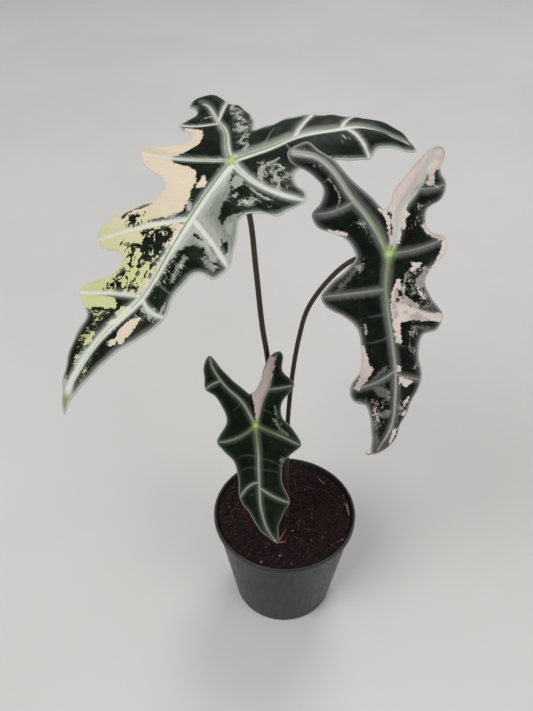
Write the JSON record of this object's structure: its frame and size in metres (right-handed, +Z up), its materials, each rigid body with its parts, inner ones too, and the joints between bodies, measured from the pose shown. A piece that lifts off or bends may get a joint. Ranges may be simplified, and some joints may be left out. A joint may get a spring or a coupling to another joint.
{
  "type": "potted alocasia nobilis",
  "caption": "Variegated alocasia with lobed arrow-shaped leaves on slender upright stalks, growing in soil in a tapered black nursery pot.",
  "frame": {"origin": "centre of the flat pad under the pot, on the surface that the pot stands on", "axes": "+Z up along the pot's axis, -Y towards the front, where the leaves' tips point, +X to the right as seen from the front"},
  "size_m": [0.2101, 0.1866, 0.449],
  "materials": {
    "pot": "satin black moulded plastic",
    "soil": "damp potting mix of bark and coir",
    "root": "pale fleshy corm and roots",
    "stalk": "smooth reddish brown to olive stalk",
    "blade_large": "satin dark green leaf with cream and silver sectors",
    "blade_right": "satin dark green leaf with pale pink and silver sectors",
    "blade_small": "satin dark green leaf with grey-green veins"
  },
  "bodies": {
    "root": {"pot": "pot", "soil": "soil", "corm_and_roots": "root", "petiole_large": "stalk", "blade_large": "blade_large", "petiole_right": "stalk", "blade_right": "blade_right", "petiole_small": "stalk", "blade_small": "blade_small"}
  },
  "joints": []
}
